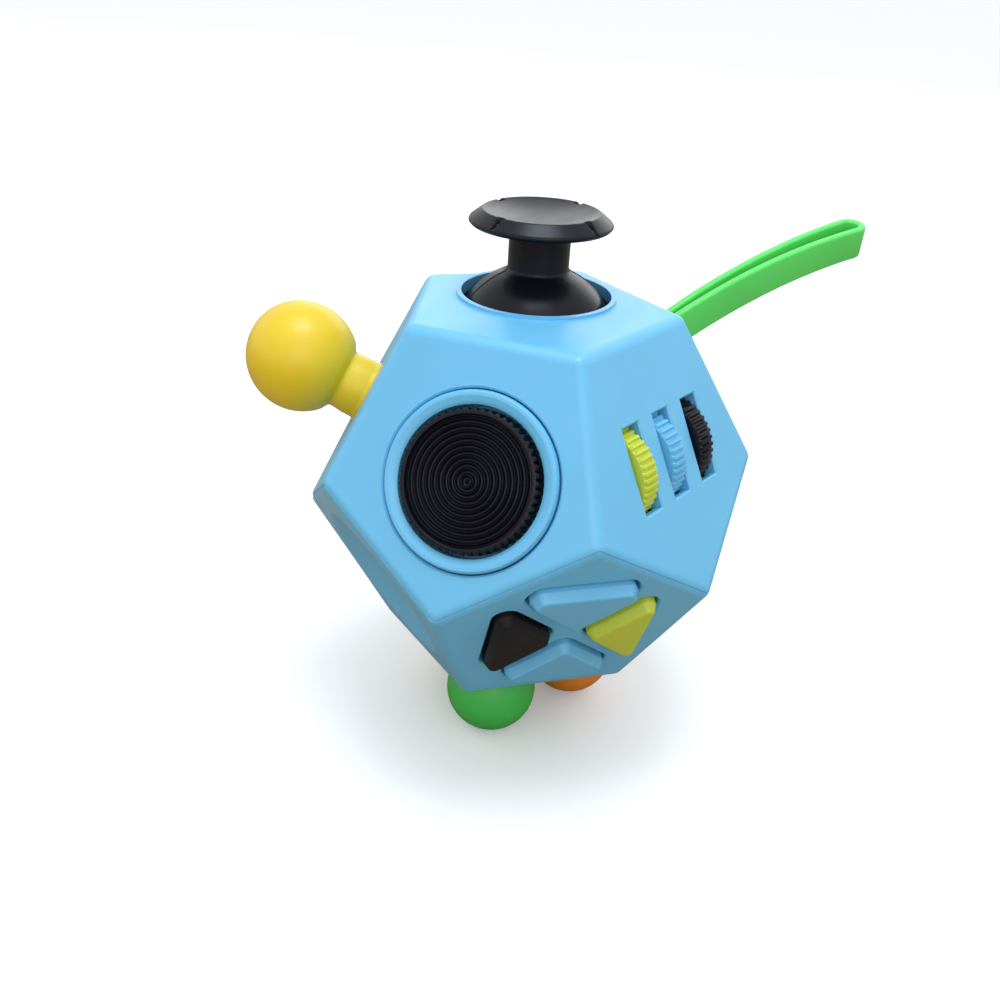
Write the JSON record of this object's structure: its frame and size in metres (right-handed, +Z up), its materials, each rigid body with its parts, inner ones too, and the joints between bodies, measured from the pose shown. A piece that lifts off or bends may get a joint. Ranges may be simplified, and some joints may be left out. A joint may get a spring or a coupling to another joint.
{
  "type": "fidget toy",
  "caption": "Dodecahedral hand-held fidget toy with a joystick, ridged dial, thumb wheels, keys, a ball stalk and a strap, standing on ball feet.",
  "frame": {"origin": "on the surface that the toy stands on, under the middle of the twelve-sided body", "axes": "+Z up through the top face with the joystick; the dial face looks along -Y"},
  "size_m": [0.0768, 0.0835, 0.0758],
  "materials": {
    "shell": "satin",
    "blue_plastic": "satin",
    "black_gloss": "semi gloss",
    "black_matte": "satin",
    "lime_plastic": "satin",
    "inner_plastic": "natural",
    "grey_silicone": "satin",
    "yellow_silicone": "satin",
    "green_silicone": "satin",
    "orange_silicone": "satin",
    "strap_silicone": "satin",
    "steel": "bright",
    "chrome": "polished"
  },
  "bodies": {
    "body": {"upper_shell": "shell", "lower_shell": "shell", "joystick_socket": "inner_plastic", "joystick_spring_cup": "inner_plastic", "joystick_spring": "steel", "socket_screws": "steel", "dial_bezel": "shell", "wheel_bracket": "inner_plastic", "wheel_axle": "steel", "bracket_screws": "steel", "button_pad": "grey_silicone", "button_carrier": "inner_plastic", "carrier_screws": "steel", "ball_stick_root": "yellow_silicone", "ball_stick_retainer": "inner_plastic", "retainer_screws": "steel", "foot_green": "green_silicone", "foot_orange": "orange_silicone", "foot_yellow": "yellow_silicone", "foot_clamp_plate": "inner_plastic", "foot_clamp_screw": "steel", "wrist_strap": "strap_silicone", "strap_anchor_pin": "steel", "rocker_frame": "blue_plastic", "slider_track": "inner_plastic", "track_screws": "steel", "roller_ring": "blue_plastic", "roller_cup": "inner_plastic"},
    "gimbal": {"gimbal_ring": "inner_plastic", "gimbal_pins": "steel"},
    "joystick": {"joystick_dome": "black_gloss", "joystick_cap": "black_gloss", "joystick_pin": "steel"},
    "dial": {"dial_knob": "black_gloss", "dial_spindle": "inner_plastic", "dial_washer": "steel", "dial_screw": "steel"},
    "wheel_green": {"thumb_wheel_green": "lime_plastic"},
    "wheel_blue": {"thumb_wheel_blue": "blue_plastic"},
    "wheel_black": {"thumb_wheel_black": "black_gloss"},
    "key_top": {"button_top": "blue_plastic"},
    "key_left": {"button_left": "black_matte"},
    "key_bottom": {"button_bottom": "blue_plastic"},
    "key_right": {"button_right": "lime_plastic"},
    "stick_ball": {"ball_stick": "yellow_silicone"},
    "rocker": {"rocker_switch": "black_gloss", "rocker_pin": "steel"},
    "slider": {"slider_knob": "lime_plastic", "slider_shoe": "inner_plastic"},
    "roller": {"roller_ball": "chrome"}
  },
  "joints": [
    {"name": "joystick_side_tilt", "type": "hinge", "parent": "body", "child": "gimbal", "pos_m": [-0.00175, 0.0045, 0.05677], "axis": [1, 0, 0], "range_deg": [-15, 15], "stiffness_Nm_per_rad": 0.02},
    {"name": "joystick_fore_tilt", "type": "hinge", "parent": "gimbal", "child": "joystick", "pos_m": [-0.00175, 0.0045, 0.05677], "axis": [0, 1, 0], "range_deg": [-15, 15], "stiffness_Nm_per_rad": 0.02},
    {"name": "dial_spin", "type": "hinge", "parent": "body", "child": "dial", "pos_m": [0.0009, -0.02373, 0.04873], "axis": [0, -0.8944, 0.4472], "continuous": true},
    {"name": "wheel_green_spin", "type": "hinge", "parent": "body", "child": "wheel_green", "pos_m": [0.01518, -0.01171, 0.04768], "axis": [0.309, 0.9511, 0], "continuous": true},
    {"name": "wheel_blue_spin", "type": "hinge", "parent": "body", "child": "wheel_blue", "pos_m": [0.01729, -0.0052, 0.04768], "axis": [0.309, 0.9511, 0], "continuous": true},
    {"name": "wheel_black_spin", "type": "hinge", "parent": "body", "child": "wheel_black", "pos_m": [0.01941, 0.00132, 0.04768], "axis": [0.309, 0.9511, 0], "continuous": true},
    {"name": "key_top_press", "type": "slide", "parent": "body", "child": "key_top", "axis": [-0.5257, 0.7236, 0.4472], "range_m": [0, 0.0012], "stiffness_N_per_m": 400},
    {"name": "key_left_press", "type": "slide", "parent": "body", "child": "key_left", "axis": [-0.5257, 0.7236, 0.4472], "range_m": [0, 0.0012], "stiffness_N_per_m": 400},
    {"name": "key_bottom_press", "type": "slide", "parent": "body", "child": "key_bottom", "axis": [-0.5257, 0.7236, 0.4472], "range_m": [0, 0.0012], "stiffness_N_per_m": 400},
    {"name": "key_right_press", "type": "slide", "parent": "body", "child": "key_right", "axis": [-0.5257, 0.7236, 0.4472], "range_m": [0, 0.0012], "stiffness_N_per_m": 400},
    {"name": "ball_stick_bend", "type": "hinge", "parent": "body", "child": "stick_ball", "pos_m": [-0.02266, -0.00736, 0.05034], "axis": [0.309, -0.9511, 0], "range_deg": [-20, 20], "stiffness_Nm_per_rad": 0.05},
    {"name": "rocker_tilt", "type": "hinge", "parent": "body", "child": "rocker", "pos_m": [-0.012, 0.01652, 0.04865], "axis": [-0.809, -0.5878, 0], "range_deg": [-8, 8]},
    {"name": "slider_travel", "type": "slide", "parent": "body", "child": "slider", "axis": [0.4253, 0.1382, 0.8944], "range_m": [-0.0045, 0.0045]},
    {"name": "roller_spin", "type": "hinge", "parent": "body", "child": "roller", "pos_m": [0, 0.02007, 0.0284], "axis": [-1, 0, 0], "continuous": true}
  ]
}
